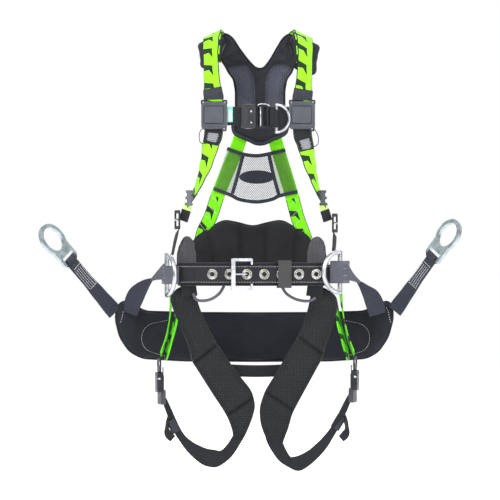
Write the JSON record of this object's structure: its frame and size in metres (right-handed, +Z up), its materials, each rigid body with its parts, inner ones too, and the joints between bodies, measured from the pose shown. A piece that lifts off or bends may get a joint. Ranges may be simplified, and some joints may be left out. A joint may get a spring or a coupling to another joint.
{
  "type": "tree climbing harness with work seat",
  "caption": "Full-body climbing harness with padded yoke, chest and leg quick-connect buckles, tongue-buckle waist belt with side rings, and a padded sling seat with two lifting rings.",
  "frame": {"origin": "centre of the dorsal ring's round eye", "axes": "+Z up along the standing wearer, -Y the way the wearer faces, +Y out of the dorsal ring's eye, +X to the wearer's left"},
  "size_m": [1.0224, 0.2808, 1.0751],
  "materials": {
    "lime_webbing": "woven polyester webbing, high-visibility green with a dark block pattern",
    "black_webbing": "woven polyester webbing, near black with light stitching",
    "pad_mesh": "spacer mesh over foam, charcoal",
    "pad_fabric": "coarse woven nylon over foam, black",
    "seat_fabric": "heavy coated nylon over foam, black",
    "net": "open net, grey, with dark binding",
    "charcoal_plastic": "satin moulded plastic, charcoal",
    "grey_plastic": "moulded plastic, grey",
    "black_rubber": "moulded rubbery plastic, matt black",
    "polished_steel": "polished plated steel",
    "zinc_steel": "forged steel, satin zinc plating",
    "black_steel": "black coated steel",
    "nickel": "warm nickel plated brass"
  },
  "bodies": {
    "harness": {"yoke_back_pad": "pad_mesh", "shoulder_pad_left": "pad_mesh", "shoulder_pad_right": "pad_mesh", "dorsal_plate": "charcoal_plastic", "shoulder_strap_left": "lime_webbing", "shoulder_strap_right": "lime_webbing", "back_strap_left": "lime_webbing", "back_strap_right": "lime_webbing", "mesh_panel": "net", "slider_housing_left": "charcoal_plastic", "slider_housing_right": "charcoal_plastic", "chest_strap_left": "black_webbing", "chest_strap_right": "black_webbing", "chest_buckle_receiver": "black_steel", "torso_adjuster_left": "black_steel", "torso_adjuster_right": "black_steel", "lower_torso_strap_left": "black_webbing", "lower_torso_strap_right": "black_webbing", "lanyard_keeper_left": "grey_plastic", "lanyard_keeper_right": "grey_plastic", "waist_pad": "pad_fabric", "belt": "black_webbing", "belt_grommets": "nickel", "belt_pad": "pad_fabric", "tool_loop_left": "black_webbing", "tool_loop_right": "black_webbing", "hip_tab_left": "black_webbing", "hip_tab_right": "black_webbing", "leg_pad_left": "pad_mesh", "leg_pad_right": "pad_mesh", "leg_webbing_left": "black_webbing", "leg_webbing_right": "black_webbing", "thigh_strap_left": "lime_webbing", "thigh_strap_right": "lime_webbing", "leg_buckle_receiver_left": "black_steel", "leg_buckle_receiver_right": "black_steel", "subpelvic_strap": "black_webbing"},
    "dorsal_ring": {"dorsal_d_ring": "zinc_steel"},
    "chest_ring": {"chest_d_ring": "polished_steel"},
    "chest_insert": {"chest_buckle_insert": "black_steel"},
    "chest_tab_upper": {"chest_release_tab_upper": "polished_steel"},
    "chest_tab_lower": {"chest_release_tab_lower": "polished_steel"},
    "buckle_frame": {"belt_buckle_frame": "polished_steel"},
    "buckle_tongue": {"belt_tongue": "polished_steel"},
    "keeper": {"belt_keeper": "black_rubber"},
    "hip_ring_left": {"hip_d_ring_left": "polished_steel"},
    "hip_ring_right": {"hip_d_ring_right": "polished_steel"},
    "torso_bar_left": {"torso_bar_left": "polished_steel"},
    "torso_bar_right": {"torso_bar_right": "polished_steel"},
    "seat": {"seat_pad": "seat_fabric", "seat_strap_left": "black_webbing", "seat_strap_right": "black_webbing"},
    "arm_left": {"seat_arm_left": "black_webbing"},
    "arm_right": {"seat_arm_right": "black_webbing"},
    "seat_ring_left": {"seat_ring_left": "zinc_steel"},
    "seat_ring_right": {"seat_ring_right": "zinc_steel"},
    "leg_insert_left": {"leg_buckle_insert_left": "black_steel"},
    "leg_insert_right": {"leg_buckle_insert_right": "black_steel"}
  },
  "joints": [
    {"name": "dorsal_ring_swing", "type": "hinge", "parent": "harness", "child": "dorsal_ring", "pos_m": [0, 0, -0.052], "axis": [-1, 0, 0], "range_deg": [0, 150]},
    {"name": "chest_ring_swing", "type": "hinge", "parent": "harness", "child": "chest_ring", "pos_m": [0.0465, -0.213, -0.08], "axis": [0, 0, -1], "range_deg": [0, 105]},
    {"name": "chest_insert_slide", "type": "slide", "parent": "harness", "child": "chest_insert", "axis": [1, 0, 0], "range_m": [0, 0.0095]},
    {"name": "chest_tab_upper_press", "type": "slide", "parent": "harness", "child": "chest_tab_upper", "axis": [0, 0, -1], "range_m": [0, 0.002], "stiffness_N_per_m": 800},
    {"name": "chest_tab_lower_press", "type": "slide", "parent": "harness", "child": "chest_tab_lower", "axis": [0, 0, 1], "range_m": [0, 0.002], "stiffness_N_per_m": 800},
    {"name": "buckle_frame_swing", "type": "hinge", "parent": "harness", "child": "buckle_frame", "pos_m": [-0.013, -0.2413, -0.454], "axis": [0, 0, 1], "range_deg": [0, 100]},
    {"name": "buckle_tongue_swing", "type": "hinge", "parent": "harness", "child": "buckle_tongue", "pos_m": [-0.013, -0.2413, -0.454], "axis": [0, 0, 1], "range_deg": [0, 8]},
    {"name": "keeper_slide", "type": "slide", "parent": "harness", "child": "keeper", "axis": [0.9924, 0.1233, 0], "range_m": [-0.012, 0.012]},
    {"name": "hip_ring_left_swing", "type": "hinge", "parent": "harness", "child": "hip_ring_left", "pos_m": [-0.2165, -0.215, -0.456], "axis": [0, 0, -1], "range_deg": [-25, 55]},
    {"name": "hip_ring_right_swing", "type": "hinge", "parent": "harness", "child": "hip_ring_right", "pos_m": [0.1995, -0.215, -0.449], "axis": [0, 0, 1], "range_deg": [-4, 84]},
    {"name": "torso_bar_left_slide", "type": "slide", "parent": "harness", "child": "torso_bar_left", "axis": [0, 0, 1], "range_m": [-0.008, 0.008]},
    {"name": "torso_bar_right_slide", "type": "slide", "parent": "harness", "child": "torso_bar_right", "axis": [0, 0, 1], "range_m": [-0.008, 0.008]},
    {"name": "seat_swing", "type": "hinge", "parent": "harness", "child": "seat", "pos_m": [0, -0.182, -0.468], "axis": [1, 0, 0], "range_deg": [0, 24]},
    {"name": "arm_left_fold", "type": "hinge", "parent": "seat", "child": "arm_left", "pos_m": [-0.354, -0.12, -0.536], "axis": [0.6181, 0.4913, 0.6137], "range_deg": [-10, 50]},
    {"name": "arm_right_fold", "type": "hinge", "parent": "seat", "child": "arm_right", "pos_m": [0.343, -0.12, -0.531], "axis": [0.6538, -0.5197, -0.55], "range_deg": [-10, 50]},
    {"name": "seat_ring_left_swing", "type": "hinge", "parent": "arm_left", "child": "seat_ring_left", "pos_m": [-0.4517, -0.14094, -0.42085], "axis": [0.4038, 0.7765, 0.4838], "range_deg": [-70, 70]},
    {"name": "seat_ring_right_swing", "type": "hinge", "parent": "arm_right", "child": "seat_ring_right", "pos_m": [0.42547, -0.14062, -0.41348], "axis": [0.416, -0.8, -0.4323], "range_deg": [-70, 70]},
    {"name": "leg_insert_left_slide", "type": "slide", "parent": "harness", "child": "leg_insert_left", "axis": [0, 0, 1], "range_m": [0, 0.016]},
    {"name": "leg_insert_right_slide", "type": "slide", "parent": "harness", "child": "leg_insert_right", "axis": [0, 0, 1], "range_m": [0, 0.016]}
  ],
  "couplings": [
    {"joint": "chest_tab_lower_press", "follows": "chest_tab_upper_press", "ratio": 1}
  ]
}
